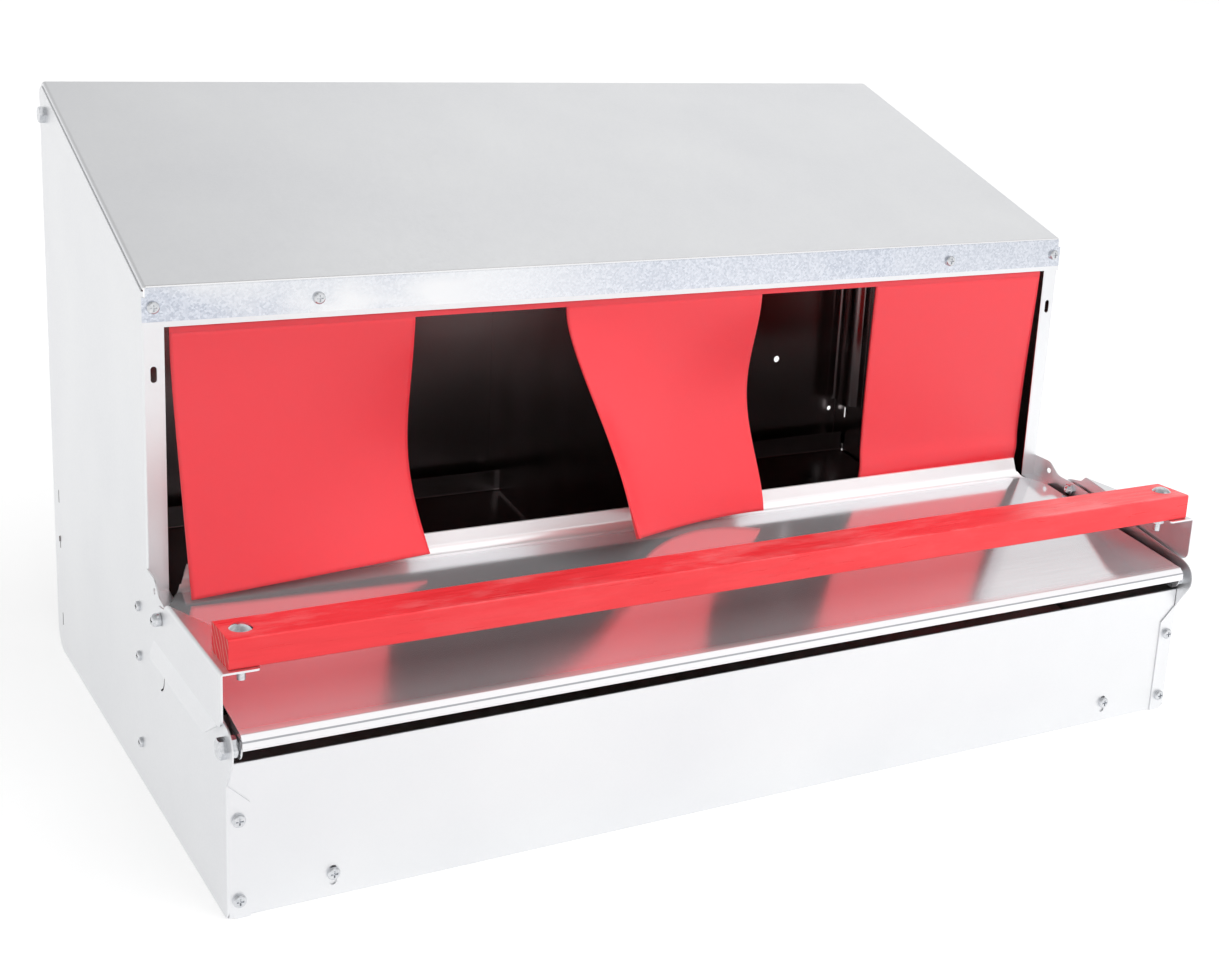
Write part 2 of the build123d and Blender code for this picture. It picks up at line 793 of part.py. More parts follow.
# Pivots of the perch: screw outside, spacer between arm and side panel, cap nut inside
cap_bore = cap_height - cap_wall
cap_radius = m6_nut * 0.45
pivot_length = arm_out - inside + cap_bore
pivot = pan_screw(m6_shank, pivot_head, pivot_head_height, pivot_length)
spacer = ring(washer_radius, m6_shank + hole_clearance, arm_offset - moving_gap)
cap_nut = hexagon(m6_nut, cap_height / 2) + Pos(0, 0, cap_height - cap_radius) * Sphere(cap_radius)
cap_nut &= rod(m6_nut, 0, cap_height)
cap_nut -= rod(m6_shank + thread_clearance, -overcut, cap_bore)
save("pivot_screws", *pair(at_left(arm_out + moving_gap, pivot_setback, pivot_height) * pivot))
save("pivot_spacers", *pair(at_left(half, pivot_setback, pivot_height) * spacer))
save("pivot_cap_nuts", *pair(at_left_inside(inside, pivot_setback, pivot_height) * cap_nut))

# Fascia screws with nuts behind the side flanges and behind the clamp strip
m5_plain_nut = nut(m5_shank, m5_nut, m5_nut_height)
nut_ys = [curtain_y, clamp_back, clamp_back, curtain_y]
fascia_length = clamp_back - fascia + m5_nut_height + thread_end
fascia_screw = pan_screw(m5_shank, m5_head, m5_head_height, fascia_length)
fascia_nuts = [behind(x, y, fascia_screw_height) * m5_plain_nut for x, y in zip(fascia_screw_xs, nut_ys)]
save("fascia_screws", *[at_front(x, fascia, fascia_screw_height) * fascia_screw for x in fascia_screw_xs])
save("fascia_nuts", *fascia_nuts)

# Side screws with nuts on the floor brackets
side_length = half - bracket_inner + m4_nut_height + thread_end
side_screw = pan_screw(m4_shank, m4_head, m4_head_height, side_length)
side_nut = nut(m4_shank, m4_nut, m4_nut_height)
left_screws = [at_left(half, bracket_setback, z) * side_screw for z in side_screw_heights]
left_nuts = [at_left_inside(bracket_inner, bracket_setback, z) * side_nut for z in side_screw_heights]
save("side_screws", *left_screws, *[twin(s) for s in left_screws])
save("side_nuts", *left_nuts, *[twin(s) for s in left_nuts])

# Front flange screws with nuts behind the front panel
front_screw = pan_screw(m5_shank, m5_head, m5_head_height, panel_back + m5_nut_height + thread_end)
save("front_screws", *[at_front(x, 0, z) * front_screw for x, z in flange_spots])
save("front_nuts", *[behind(x, panel_back, z) * m5_plain_nut for x, z in flange_spots])

# Slope screws of the nest floor with nuts behind its front lip
slope_length = floor_lip_y - panel_y + m5_nut_height + thread_end
slope_screw = pan_screw(m5_shank, m5_head, m5_head_height, slope_length)
save("slope_screws", *[at_front(x, panel_y, slope_screw_height) * slope_screw for x in slope_xs])
save("slope_nuts", *[behind(x, floor_lip_y, slope_screw_height) * m5_plain_nut for x in slope_xs])

# Rear roof bolts with nuts inside the roof's side flanges
flange_inner = fit_half - sheet
rear_bolt = hex_bolt(m8_shank, m8_hex, m8_head_height, half - flange_inner + m8_nut_height + thread_end)
save("roof_bolts", *pair(at_left(half, *roof_bolt) * rear_bolt))
save("roof_nuts", *pair(at_left_inside(flange_inner, *roof_bolt) * m8_nut))
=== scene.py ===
# %% [markdown]
# # A roll-away nest box in galvanised sheet
#
# The box is folded from thin galvanised sheet, blackened inside, with a red PVC curtain over the
# entrance and a red painted perch in front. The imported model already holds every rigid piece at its
# real size, so this lesson gives those pieces their finish, hangs the flexible curtain as new
# surfaces, and sets up a white studio with the camera of the photograph.

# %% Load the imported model
import math

import bpy
import numpy as np
from mathutils import Matrix, Vector


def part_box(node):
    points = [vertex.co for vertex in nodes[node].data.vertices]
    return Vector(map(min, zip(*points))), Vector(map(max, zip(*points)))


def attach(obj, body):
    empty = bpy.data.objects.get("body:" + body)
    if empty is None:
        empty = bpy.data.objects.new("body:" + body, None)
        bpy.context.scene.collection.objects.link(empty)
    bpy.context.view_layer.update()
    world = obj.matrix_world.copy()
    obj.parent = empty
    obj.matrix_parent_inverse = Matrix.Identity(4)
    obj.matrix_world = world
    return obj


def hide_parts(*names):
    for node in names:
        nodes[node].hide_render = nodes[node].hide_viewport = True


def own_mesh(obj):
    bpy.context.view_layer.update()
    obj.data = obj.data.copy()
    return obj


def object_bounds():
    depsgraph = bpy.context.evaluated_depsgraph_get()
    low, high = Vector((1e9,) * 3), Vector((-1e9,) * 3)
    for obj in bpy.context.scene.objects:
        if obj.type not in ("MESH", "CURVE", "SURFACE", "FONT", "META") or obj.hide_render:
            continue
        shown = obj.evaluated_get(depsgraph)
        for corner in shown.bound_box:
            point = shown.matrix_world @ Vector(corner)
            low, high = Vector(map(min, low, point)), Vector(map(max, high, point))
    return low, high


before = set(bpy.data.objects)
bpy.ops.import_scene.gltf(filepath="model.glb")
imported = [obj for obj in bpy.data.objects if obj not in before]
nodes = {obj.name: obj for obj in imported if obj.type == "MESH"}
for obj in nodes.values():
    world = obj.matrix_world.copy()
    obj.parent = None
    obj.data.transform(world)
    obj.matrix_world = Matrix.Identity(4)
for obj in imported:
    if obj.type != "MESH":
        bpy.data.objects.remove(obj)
cad_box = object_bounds()
print("CAD box", [round(v, 4) for corner in cad_box for v in corner], len(nodes), "nodes")

# %% [markdown]
# ## Camera
#
# The photograph was taken from the front left, a little above the roof's front edge. The camera could
# be placed by eye, but its place and turn were worked out from the corners of the box, whose real
# sizes are known. A small shift keeps the picture's framing without turning the camera.

# %% Camera of the photograph
IMAGE_WIDTH = 1220.0
FOCAL_PIXELS = 1742.7
SENSOR_WIDTH = 36.0
# The pixel that the lens looks straight at, and the middle of the picture.
PRINCIPAL_POINT = (588.5, 403.4)
IMAGE_MIDDLE = (610.0, 480.0)
camera_place = Vector((-0.7344, -1.2651, 0.6381))
# In degrees: the turn to the right, how far the camera looks down, and its tilt.
camera_azimuth, camera_drop, camera_roll = 28.99, 14.66, 2.52

camera_data = bpy.data.cameras.new("photo_camera")
camera = bpy.data.objects.new("photo_camera", camera_data)
bpy.context.scene.collection.objects.link(camera)
camera_data.sensor_width = SENSOR_WIDTH
camera_data.lens = FOCAL_PIXELS * SENSOR_WIDTH / IMAGE_WIDTH
camera_data.shift_x = (IMAGE_MIDDLE[0] - PRINCIPAL_POINT[0]) / IMAGE_WIDTH
camera_data.shift_y = (PRINCIPAL_POINT[1] - IMAGE_MIDDLE[1]) / IMAGE_WIDTH
turn = Matrix.Rotation(math.radians(-camera_azimuth), 4, "Z")
turn = turn @ Matrix.Rotation(math.radians(90 - camera_drop), 4, "X")
turn = turn @ Matrix.Rotation(math.radians(camera_roll), 4, "Z")
camera.matrix_world = Matrix.Translation(camera_place) @ turn
bpy.context.scene.camera = camera
bpy.context.scene.view_settings.view_transform = "Standard"
shift = [round(v, 4) for v in (camera_data.shift_x, camera_data.shift_y)]
print("lens", round(camera_data.lens, 2), "mm, shift", *shift)

# %% [markdown]
# ## Node helpers
#
# A material is a small graph of nodes. One helper adds a node, sets its options and connects its
# inputs, so each finish below reads as a list of steps. Colours are written as the sRGB hex values a
# paint chart would give, and turned to the linear light that shaders work in. Pattern sizes are
# written in millimetres.


# %% Helpers for materials
def linear(code):
    """Linear RGBA of an sRGB hex colour: c/12.92 in the dark, ((c + 0.055)/1.055)^2.4 above it."""
    rgb = np.array([int(code[i : i + 2], 16) / 255 for i in (1, 3, 5)])
    rgb = np.where(rgb <= 0.04045, rgb / 12.92, ((rgb + 0.055) / 1.055) ** 2.4)
    return (*rgb.tolist(), 1.0)


def per_mm(size):
    """Texture scale, in repeats per metre, of a pattern that is so many millimetres wide."""
    return 1000.0 / size


def add(tree, kind, inputs=(), **options):
    """Adds a node: options are its settings, inputs pairs of an input and the value or output it takes."""
    made = tree.nodes.new("ShaderNode" + kind)
    for name, value in options.items():
        setattr(made, name, value)
    for name, value in inputs:
        if isinstance(value, bpy.types.NodeSocket):
            tree.links.new(value, made.inputs[name])
        else:
            made.inputs[name].default_value = value
    return made


def new_material(name):
    """An empty material: its node tree, its surface shader, and the object's own coordinates."""
    material = bpy.data.materials.new(name)
    material.use_nodes = True
    tree = material.node_tree
    shader = tree.nodes["Principled BSDF"]
    place = add(tree, "TexCoord")
    return material, tree, shader, place


# Sockets of a Mix node for colours. A Mix node for numbers takes its share in 0 and its two values in 2
# and 3. A MapRange node takes a value in 0 and maps it from the range in 1 and 2 to the range in 3 and 4.
FACTOR, COLOUR_A, COLOUR_B, COLOUR_OUT = 0, 6, 7, 2
print("red as linear light", [round(v, 3) for v in linear("#E02A33")[:3]])

# %% [markdown]
# ## Studio
#
# The box stands in a white cove. Bare metal shows what surrounds it, so the surroundings matter more
# than the lamps: the world is white for what the camera and the mirror-like surfaces see, and a calmer
# grey for the light that falls on matt surfaces. Overhead it is greyer, with a brighter window behind
# the right shoulder of the box, which gives the roof its slow change of tone, and another over the
# front, which draws the white lines along the bends. Two wide suns give soft shadows and a softbox on
# the right makes that side a little brighter. The floor keeps its own shading, with enough glow to come
# out white for the camera.

# %% World
world = bpy.data.worlds.new("white_cove")
bpy.context.scene.world = world
world.use_nodes = True
sky = world.node_tree
ray = add(sky, "LightPath")
seen = ray.outputs["Is Camera Ray"]
for kind in ("Is Glossy Ray", "Is Transmission Ray"):
    seen = add(sky, "Math", [(0, seen), (1, ray.outputs[kind])], operation="MAXIMUM").outputs[0]
way = add(sky, "TexCoord").outputs["Generated"]
# Strength of the light on matt surfaces and, for the eye, of the ceiling and of the point straight up.
AMBIENT, CEILING, ZENITH = 0.45, 0.62, 0.45
# Heights, as shares of straight up, over which the wall turns to ceiling and the ceiling to its top.
WALL_END, CEILING_END = (0.15, 0.5), (0.8, 0.97)
# Each window: the way it lies in, how near to that way it starts and is full, and its strength.
windows = [((0.55, 0.56, 0.62), 0.86, 1.0, 0.98), ((0.40, -0.60, 0.69), 0.84, 0.95, 1.0)]
height = add(sky, "SeparateXYZ", [(0, way)]).outputs["Z"]
overhead = [(0, height), (1, CEILING_END[0]), (2, CEILING_END[1]), (3, CEILING), (4, ZENITH)]
overhead = add(sky, "MapRange", overhead).outputs[0]
for direction, start, full, power in windows:
    near = add(sky, "VectorMath", [(0, way), (1, direction)], operation="DOT_PRODUCT").outputs["Value"]
    share = add(sky, "MapRange", [(0, near), (1, start), (2, full)], interpolation_type="SMOOTHSTEP")
    overhead = add(sky, "Mix", [(0, share.outputs[0]), (2, overhead), (3, power)]).outputs[0]
raised = [(0, height), (1, WALL_END[0]), (2, WALL_END[1])]
raised = add(sky, "MapRange", raised, interpolation_type="SMOOTHSTEP")
ceiling = add(sky, "Mix", [(0, raised.outputs[0]), (2, 1.0), (3, overhead)])
strength = add(sky, "Mix", [(0, seen), (2, AMBIENT), (3, ceiling.outputs[0])])
background = sky.nodes["Background"]
background.inputs["Color"].default_value = linear("#FFFFFF")
sky.links.new(strength.outputs[0], background.inputs["Strength"])
print("world: white for the eye,", AMBIENT, "for matt surfaces")

# %% Lamps
# Each sun: power, azimuth of where it stands (0 is in front, positive to the right), elevation, width.
# No lamp is mirrored in the metal, which shows the world's windows instead.
suns = {"key": (1.42, 30.0, 45.0, 60.0), "fill": (0.65, -60.0, 35.0, 90.0)}
for name, (power, azimuth, elevation, width) in suns.items():
    lamp = bpy.data.lights.new(name, "SUN")
    lamp.energy, lamp.angle = power, math.radians(width)
    stand = bpy.data.objects.new(name, lamp)
    stand.rotation_euler = (math.radians(90 - elevation), 0, math.radians(azimuth))
    stand.visible_glossy = False
    bpy.context.scene.collection.objects.link(stand)
    print(name, "sun at azimuth", azimuth, "and elevation", elevation)

SOFTBOX_PLACE, SOFTBOX_AIM = Vector((1.25, -1.35, 0.95)), Vector((0.2, 0.0, 0.2))
SOFTBOX_WIDTH, SOFTBOX_POWER = 0.9, 12.0
lamp = bpy.data.lights.new("softbox", "AREA")
lamp.energy, lamp.size = SOFTBOX_POWER, SOFTBOX_WIDTH
stand = bpy.data.objects.new("softbox", lamp)
stand.location = SOFTBOX_PLACE
stand.rotation_euler = (SOFTBOX_AIM - SOFTBOX_PLACE).to_track_quat("-Z", "Y").to_euler()
stand.visible_glossy = False
bpy.context.scene.collection.objects.link(stand)
print("softbox", SOFTBOX_WIDTH, "m wide")

# %% Floor
FLOOR_REACH = 30.0
# The floor lies just under the box, so that their faces do not fall together.
FLOOR_DROP = 0.0005
# Glow added for the camera, and for what is mirrored in the metal.
FLOOR_GLOW, MIRRORED_GLOW = 0.55, 0.51
mesh = bpy.data.meshes.new("floor")
corners = np.array([(-1, -1, 0), (1, -1, 0), (1, 1, 0), (-1, 1, 0)]) * FLOOR_REACH
mesh.from_pydata(corners.tolist(), [], [(0, 1, 2, 3)])
floor = bpy.data.objects.new("floor", mesh)
bpy.context.scene.collection.objects.link(floor)
floor.location.z = -FLOOR_DROP
material, tree, shader, place = new_material("white paper floor")
shader.inputs["Base Color"].default_value = linear("#C8C8C8")
shader.inputs["Roughness"].default_value = 0.9
shader.inputs["Specular IOR Level"].default_value = 0.0
ray = add(tree, "LightPath")
glow = 0.0
for kind, part in (("Camera", FLOOR_GLOW), ("Glossy", MIRRORED_GLOW), ("Transmission", FLOOR_GLOW)):
    terms = [(0, ray.outputs["Is " + kind + " Ray"]), (1, part), (2, glow)]
    glow = add(tree, "Math", terms, operation="MULTIPLY_ADD").outputs[0]
shader.inputs["Emission Color"].default_value = linear("#FFFFFF")
tree.links.new(glow, shader.inputs["Emission Strength"])
mesh.materials.append(material)
print("floor", 2 * FLOOR_REACH, "m wide")

# %% [markdown]
# ## Galvanised sheet
#
# Steel sheet dipped in zinc is a pale, slightly blue metal. The zinc freezes in crystals a few
# millimetres wide, the spangle, and each crystal spreads light a little differently, so the pattern
# shows only where something dark is mirrored. On the front strip over the entrance that dark
# reflection is painted into the colour, as grey crystals, and the bend above the strip gets a painted
# highlight. Rolling leaves faint lines, and thin panels are never quite flat. The same sheet is black
# on the inside, which keeps the nest dark.

# %% Galvanised sheet
NEST_MIDDLE = (0.0, 0.10, 0.26)
# The black coat starts half a millimetre before the curtain.
NEST_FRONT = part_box("curtain_header")[0].y - 0.0005
# The front strip over the entrance has a plain hem along its lower edge.
FASCIA_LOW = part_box("roof_panel")[0].z
HEM = 0.004
# Along X, where the strip's painted dark reflection sets in, and its share over the right half.
DARK_REFLECTION_FROM, DARK_REFLECTION_TO, DARK_REFLECTION_SHARE = -0.2, -0.02, 0.85


def galvanised_sheet(name, crystals=False, black=None):
    """Zinc-coated steel: pale metal, a faint cloud, spangle crystals on a front strip, and a black side.

    The strip shows grey spangle crystals, a painted reflection of dark surroundings, in patches and over its
    right half, and the bend above it carries a painted highlight, smooth and near-white. A face is inside
    where its normal points back to the middle of the nest. The coat there is a dark mirror, which looks black
    because it shows the dark nest. With black set to behind, the coat is darker, a painted shade for the nest
    floor.
    """
    material, tree, shader, place = new_material(name)
    spot = place.outputs["Object"]
    cloud = add(tree, "TexNoise", [("Vector", spot), ("Scale", per_mm(140.0)), ("Detail", 3.0)])
    tones = [(FACTOR, cloud.outputs["Fac"]), (COLOUR_A, linear("#E6E7EA")), (COLOUR_B, linear("#F2F3F4"))]
    colour = add(tree, "Mix", tones, data_type="RGBA").outputs[COLOUR_OUT]
    spangle = add(tree, "TexVoronoi", [("Vector", spot), ("Scale", per_mm(1.6)), ("Randomness", 1.0)])
    crystal = add(tree, "SeparateColor", [(0, spangle.outputs["Color"])])
    spread = [(0, crystal.outputs[1]), (1, 0.0), (2, 1.0), (3, 0.34), (4, 0.44)]
    rough = add(tree, "MapRange", spread).outputs[0]
    side = add(tree, "SeparateXYZ", [(0, place.outputs["Normal"])])
    if crystals:
        front = add(tree, "MapRange", [(0, side.outputs["Y"]), (1, -0.85), (2, -0.97)]).outputs[0]
        # The bend above the strip: a painted highlight, near-white and smooth.
        bend_highlight = add(tree, "MapRange", [(0, side.outputs["Y"]), (1, -0.42), (2, -0.6)]).outputs[0]
        bend_highlight = add(tree, "Math", [(0, bend_highlight), (1, front)], operation="SUBTRACT").outputs[0]
        where = add(tree, "SeparateXYZ", [(0, spot)])
        low = [(0, where.outputs["Z"]), (1, FASCIA_LOW + HEM / 2), (2, HEM / 2)]
        hem = add(tree, "Math", low, operation="COMPARE")
        strip = [(0, front), (1, hem.outputs[0])]
        strip = add(tree, "Math", strip, operation="SUBTRACT", use_clamp=True).outputs[0]
        long = [("Vector", spot), ("Scale", (0.5, 1.0, 1.0)), ("Location", (0.09, 0.0, 0.0))]
        long = add(tree, "Mapping", long).outputs[0]
        # Painted dark reflection: grey crystals on the strip, in noise patches and over its right half.
        patch = add(tree, "TexNoise", [("Vector", long), ("Scale", per_mm(90.0)), ("Detail", 4.0)])
        dark_reflection = add(tree, "MapRange", [(0, patch.outputs["Fac"]), (1, 0.45), (2, 0.62)]).outputs[0]
        right = [(0, where.outputs["X"]), (1, DARK_REFLECTION_FROM), (2, DARK_REFLECTION_TO), (4, DARK_REFLECTION_SHARE)]
        right = add(tree, "MapRange", right)
        dark_reflection = add(tree, "Math", [(0, dark_reflection), (1, right.outputs[0])], operation="MAXIMUM").outputs[0]
        shown = add(tree, "Math", [(0, strip), (1, dark_reflection)], operation="MULTIPLY").outputs[0]
        grey = [(FACTOR, crystal.outputs[0]), (COLOUR_A, linear("#DDE1EA")), (COLOUR_B, linear("#BEC4D0"))]
        grey = add(tree, "Mix", grey, data_type="RGBA").outputs[COLOUR_OUT]
        for share, tone in ((shown, grey), (bend_highlight, linear("#FDFDFE"))):
            tones = [(FACTOR, share), (COLOUR_A, colour), (COLOUR_B, tone)]
            colour = add(tree, "Mix", tones, data_type="RGBA").outputs[COLOUR_OUT]
        for share, value in ((strip, 0.24), (bend_highlight, 0.15)):
            rough = add(tree, "Mix", [(0, share), (2, rough), (3, value)]).outputs[0]
    if black:
        depth = add(tree, "SeparateXYZ", [(0, spot)])
        coated = [(0, depth.outputs["Y"]), (1, NEST_FRONT)]
        coated = add(tree, "Math", coated, operation="GREATER_THAN").outputs[0]
        if black == "inside":
            outwards = add(tree, "VectorMath", [(0, spot), (1, NEST_MIDDLE)], operation="SUBTRACT")
            ways = [(0, outwards.outputs[0]), (1, place.outputs["Normal"])]
            facing = add(tree, "VectorMath", ways, operation="DOT_PRODUCT")
            inner = add(tree, "Math", [(0, facing.outputs["Value"]), (1, -0.002)], operation="LESS_THAN")
            coated = add(tree, "Math", [(0, inner.outputs[0]), (1, coated)], operation="MULTIPLY").outputs[0]
        # The floor's coat behind the nest front is darker: a painted shade for the shadow on the nest floor.
        coat = linear("#A49A9A" if black == "inside" else "#7C7575")
        tones = [(FACTOR, coated), (COLOUR_A, colour), (COLOUR_B, coat)]
        colour = add(tree, "Mix", tones, data_type="RGBA").outputs[COLOUR_OUT]
        rough = add(tree, "Mix", [(0, coated), (2, rough), (3, 0.24)]).outputs[0]
    shader.inputs["Metallic"].default_value = 1.0
    waves = add(tree, "TexNoise", [("Vector", spot), ("Scale", per_mm(160.0)), ("Detail", 1.0)])
    dents = add(tree, "Bump", [("Height", waves.outputs["Fac"]), ("Strength", 0.2), ("Distance", 0.004)])
    tree.links.new(dents.outputs[0], shader.inputs["Normal"])
    tree.links.new(colour, shader.inputs["Base Color"])
    tree.links.new(rough, shader.inputs["Roughness"])
    return material


roof_name = "galvanised steel with spangle, blackened inside"
roof_sheet = galvanised_sheet(roof_name, crystals=True, black="inside")
shell_sheet = galvanised_sheet("galvanised steel, blackened inside", black="inside")
floor_sheet = galvanised_sheet("galvanised steel, blackened behind", black="behind")
tray_sheet = galvanised_sheet("galvanised steel")
for sheet in (roof_sheet, shell_sheet, floor_sheet, tray_sheet):
    print("sheet:", sheet.name, len(sheet.node_tree.nodes), "nodes")

# %% [markdown]
# ## Bright lid
#
# The lid is the same steel with a smoother, brighter zinc coat, rubbed shiny by use. It mirrors
# the curtain and the perch above it, drawn out into soft streaks by the fine rolling lines.


# %% Bright lid sheet
LID_LOW, LID_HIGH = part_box("egg_lid")
# Height of the fold between the lid and its front lip, painted with a grey line of shade, and the line's
# width.
LIP_CREASE, CREASE_WIDTH = 0.132, 0.0012
# Distances from the lid's front and rear edges over which a painted highlight is laid on its bends.
BEND_START, BEND_FULL = 0.011, 0.003


def bright_sheet():
    """Smooth zinc coat: a mirror under a matt bloom, with faint rolling lines and painted bend highlights.

    The rolling lines are a tenth of a millimetre apart and are drawn about a millimetre wide. The painted
    highlight on the rear bend is the whitest, and a grey line of painted shade lies on the fold to the lip.
    """
    material, tree, shader, place = new_material("bright zinc sheet")
    spot = place.outputs["Object"]
    drawn = add(tree, "Mapping", [("Vector", spot), ("Scale", (0.03, 1.0, 1.0))])
    lines = add(tree, "TexNoise", [("Vector", drawn.outputs[0]), ("Scale", per_mm(1.2)), ("Detail", 2.0)])
    patch = add(tree, "TexNoise", [("Vector", spot), ("Scale", per_mm(110.0)), ("Detail", 3.0)])
    rough = add(tree, "MapRange", [(0, patch.outputs["Fac"]), (1, 0.35), (2, 0.65), (3, 0.11), (4, 0.17)])
    tones = [(FACTOR, lines.outputs["Fac"]), (COLOUR_A, linear("#D6D7DA")), (COLOUR_B, linear("#E6E7EA"))]
    colour = add(tree, "Mix", tones, data_type="RGBA").outputs[COLOUR_OUT]
    depth = add(tree, "SeparateXYZ", [(0, spot)]).outputs["Y"]
    half = (LID_HIGH.y - LID_LOW.y) / 2
    apart = add(tree, "Math", [(0, depth), (1, LID_LOW.y + half)], operation="SUBTRACT").outputs[0]
    apart = add(tree, "Math", [(0, apart)], operation="ABSOLUTE").outputs[0]
    # Painted highlights on the bends near both edges: whiter, less metallic and rougher.
    bend_highlight = add(tree, "MapRange", [(0, apart), (1, half - BEND_START), (2, half - BEND_FULL)]).outputs[0]
    height = add(tree, "SeparateXYZ", [(0, spot)]).outputs["Z"]
    # A grey line of painted shade along the fold to the front lip.
    crease_shade = [(0, height), (1, LIP_CREASE), (2, CREASE_WIDTH / 2)]
    crease_shade = add(tree, "Math", crease_shade, operation="COMPARE").outputs[0]
    # The rear bend's painted highlight is the whitest.
    rear_highlight = add(tree, "Math", [(0, depth), (1, LID_LOW.y + half)], operation="GREATER_THAN").outputs[0]
    rear_highlight = add(tree, "Math", [(0, rear_highlight), (1, bend_highlight)], operation="MULTIPLY").outputs[0]
    for share, tone in ((bend_highlight, "#F2F2F4"), (rear_highlight, "#FEFEFF"), (crease_shade, "#A9ABAF")):
        tones = [(FACTOR, share), (COLOUR_A, colour), (COLOUR_B, linear(tone))]
        colour = add(tree, "Mix", tones, data_type="RGBA").outputs[COLOUR_OUT]
    rough = add(tree, "Mix", [(0, bend_highlight), (2, rough.outputs[0]), (3, 0.25)])
    metal = add(tree, "MapRange", [(0, bend_highlight), (3, 0.74), (4, 0.6)])
    metal = add(tree, "Mix", [(0, rear_highlight), (2, metal.outputs[0]), (3, 0.4)])
    tree.links.new(metal.outputs[0], shader.inputs["Metallic"])
    ridge = add(tree, "Bump", [("Height", lines.outputs["Fac"]), ("Strength", 0.04), ("Distance", 0.0004)])
    tree.links.new(ridge.outputs[0], shader.inputs["Normal"])
    tree.links.new(rough.outputs[0], shader.inputs["Roughness"])
    tree.links.new(colour, shader.inputs["Base Color"])
    return material


lid_sheet = bright_sheet()
print("lid:", lid_sheet.name)

# %% [markdown]
# ## Black inner pieces
#
# The pieces that are wholly inside the nest have a smooth black coat, glossy enough to catch the
# light of the entrance along their folds.


# %% Black coat
def black_coat():
    """Gloss black coat: a dark mirror that shows the dark nest, with a soft cloud of dust over it."""
    material, tree, shader, place = new_material("black stoved coat")
    spot = place.outputs["Object"]
    dust = add(tree, "TexNoise", [("Vector", spot), ("Scale", per_mm(60.0)), ("Detail", 1.0)])
    tones = [(FACTOR, dust.outputs["Fac"]), (COLOUR_A, linear("#8E8585")), (COLOUR_B, linear("#A89E9E"))]
    colour = add(tree, "Mix", tones, data_type="RGBA")
    rough = add(tree, "MapRange", [(0, dust.outputs["Fac"]), (1, 0.3), (2, 0.7), (3, 0.2), (4, 0.25)])
    shader.inputs["Metallic"].default_value = 1.0
    tree.links.new(colour.outputs[COLOUR_OUT], shader.inputs["Base Color"])
    tree.links.new(rough.outputs[0], shader.inputs["Roughness"])
    return material


inner_coat = black_coat()
print("inside:", inner_coat.name)

# %% [markdown]
# ## Zinc-plated fasteners
#
# Screws, nuts and bolts are plated in a bath, which leaves a thin bright coat, a little bluer and in
# places darker than the dipped sheet. A mottle a few millimetres wide stands for wear and handling.


# %% Zinc plating
def zinc_plate():
    """Electroplated zinc: grey metal with a slight blue cast, mottled in tone and roughness."""
    material, tree, shader, place = new_material("zinc-plated steel")
    spot = place.outputs["Object"]
    mottle = add(tree, "TexNoise", [("Vector", spot), ("Scale", per_mm(2.5)), ("Detail", 3.0)])
    tones = [(FACTOR, mottle.outputs["Fac"]), (COLOUR_A, linear("#AEB2B8")), (COLOUR_B, linear("#F0F1F3"))]
    colour = add(tree, "Mix", tones, data_type="RGBA")
    rough = add(tree, "MapRange", [(0, mottle.outputs["Fac"]), (1, 0.3), (2, 0.7), (3, 0.1), (4, 0.2)])
    tree.links.new(colour.outputs[COLOUR_OUT], shader.inputs["Base Color"])
    tree.links.new(rough.outputs[0], shader.inputs["Roughness"])
    shader.inputs["Metallic"].default_value = 1.0
    return material


plating = zinc_plate()
print("fasteners:", plating.name)

# %% [markdown]
# ## Painted perch
#
# The perch is a planed pine bar with two coats of red paint put on with a brush along its length.
# The brush leaves long streaks that are thinner and paler in places. On the top they are paler still,
# partly from the wear of feet and partly as a painted sheen, and the sawn ends drink the paint and stay
# rough.

# %% Painted pine
BAR_LOW, BAR_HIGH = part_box("perch_bar")
# Slope of the saw marks on the bar's ends, in radians.
SAW_SLOPE = 0.6


